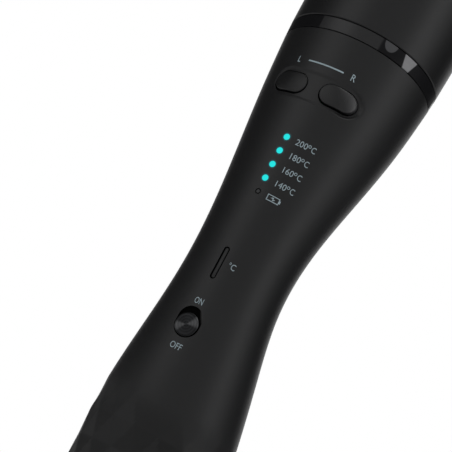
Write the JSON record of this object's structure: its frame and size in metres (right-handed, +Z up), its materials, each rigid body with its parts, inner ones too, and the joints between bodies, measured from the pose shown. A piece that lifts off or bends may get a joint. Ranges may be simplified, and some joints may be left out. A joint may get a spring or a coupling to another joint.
{
  "type": "hair curler",
  "caption": "Cordless automatic hair curler: bent waisted handle with keys, faceted ring and a slotted round head whose drum winds hair on a heated barrel.",
  "frame": {"origin": "bottom centre of the bounding box, on the plane the base stands on", "axes": "+Z up from the base to the head, parallel to the head axis; the keys face -Y; +X to the right of someone looking at the keys"},
  "size_m": [0.0588, 0.0744, 0.2863],
  "materials": {
    "body_black": "satin black",
    "base_black": "fine matte",
    "foot_rubber": "matte",
    "ring_black": "polished flat faces",
    "head_black": "satin black",
    "rim_black": "semi-gloss",
    "key_black": "semi-gloss",
    "slider_metal": "spun, dark",
    "lens_lit": "frosted, lit",
    "lens_dark": "frosted, unlit",
    "chamber_grey": "semi-gloss",
    "drum_grey": "semi-gloss",
    "gear_white": "natural",
    "barrel_ceramic": "ceramic coated",
    "tip_black": "heat-proof",
    "heater_metal": "machined",
    "heater_ceramic": "fired",
    "steel": "plain",
    "cell_wrap": "shrink wrap",
    "tab_metal": "nickel plated",
    "frame_black": "moulded",
    "board_green": "solder mask",
    "device_black": "moulded",
    "device_white": "moulded"
  },
  "bodies": {
    "handle": {"barrel_collar": "tip_black", "barrel_tip": "tip_black", "base_cap": "base_black", "board_frame": "frame_black", "board_parts": "device_black", "board_screws": "steel", "cell_holder": "frame_black", "cell_left": "cell_wrap", "cell_right": "cell_wrap", "cell_tabs": "tab_metal", "charge_board": "board_green", "charge_socket": "steel", "drum_bush": "gear_white", "facet_ring": "ring_black", "foot_pad": "foot_rubber", "handle_sleeve": "body_black", "head_base": "chamber_grey", "head_liner": "chamber_grey", "head_rim": "rim_black", "head_screws": "steel", "head_shell": "head_black", "heater_block": "heater_metal", "heating_barrel": "barrel_ceramic", "heating_element": "heater_ceramic", "key_switches": "device_black", "lens_140": "lens_lit", "lens_160": "lens_lit", "lens_180": "lens_lit", "lens_200": "lens_lit", "lens_battery": "lens_dark", "main_board": "board_green", "motor": "steel", "motor_gearbox": "steel", "power_switch": "device_black", "slot_trim": "rim_black", "status_lights": "device_white", "temperature_switch": "device_black", "thermal_fuse": "steel", "thermistor": "heater_ceramic"},
    "drum": {"hair_drum": "drum_grey", "drum_gear": "gear_white"},
    "pinion": {"output_shaft": "steel", "drive_pinion": "gear_white"},
    "left_button": {"left_key": "key_black", "left_plunger": "device_white"},
    "right_button": {"right_key": "key_black", "right_plunger": "device_white"},
    "temperature": {"temperature_button": "key_black", "temperature_plunger": "device_white"},
    "power": {"power_slider": "slider_metal", "slider_carriage": "device_white", "switch_lever": "device_white"}
  },
  "joints": [
    {"name": "drum_spin", "type": "hinge", "parent": "handle", "child": "drum", "pos_m": [0, -0.00798, 0.2], "axis": [0, 0, 1], "continuous": true},
    {"name": "pinion_spin", "type": "hinge", "parent": "handle", "child": "pinion", "pos_m": [0, 0.00642, 0.181], "axis": [0, 0, 1], "continuous": true},
    {"name": "left_press", "type": "slide", "parent": "handle", "child": "left_button", "axis": [0, 0.9965, 0.0834], "range_m": [0, 0.0006], "stiffness_N_per_m": 1500, "springref_m": -0.00033},
    {"name": "right_press", "type": "slide", "parent": "handle", "child": "right_button", "axis": [0, 0.9965, 0.0834], "range_m": [0, 0.0006], "stiffness_N_per_m": 1500, "springref_m": -0.00033},
    {"name": "temperature_press", "type": "slide", "parent": "handle", "child": "temperature", "axis": [0, 0.9965, 0.0834], "range_m": [0, 0.0004], "stiffness_N_per_m": 1500, "springref_m": -0.00033},
    {"name": "power_slide", "type": "slide", "parent": "handle", "child": "power", "axis": [0, -0.0834, 0.9965], "range_m": [0, 0.002]}
  ],
  "couplings": [
    {"joint": "pinion_spin", "follows": "drum_spin", "ratio": -2}
  ]
}
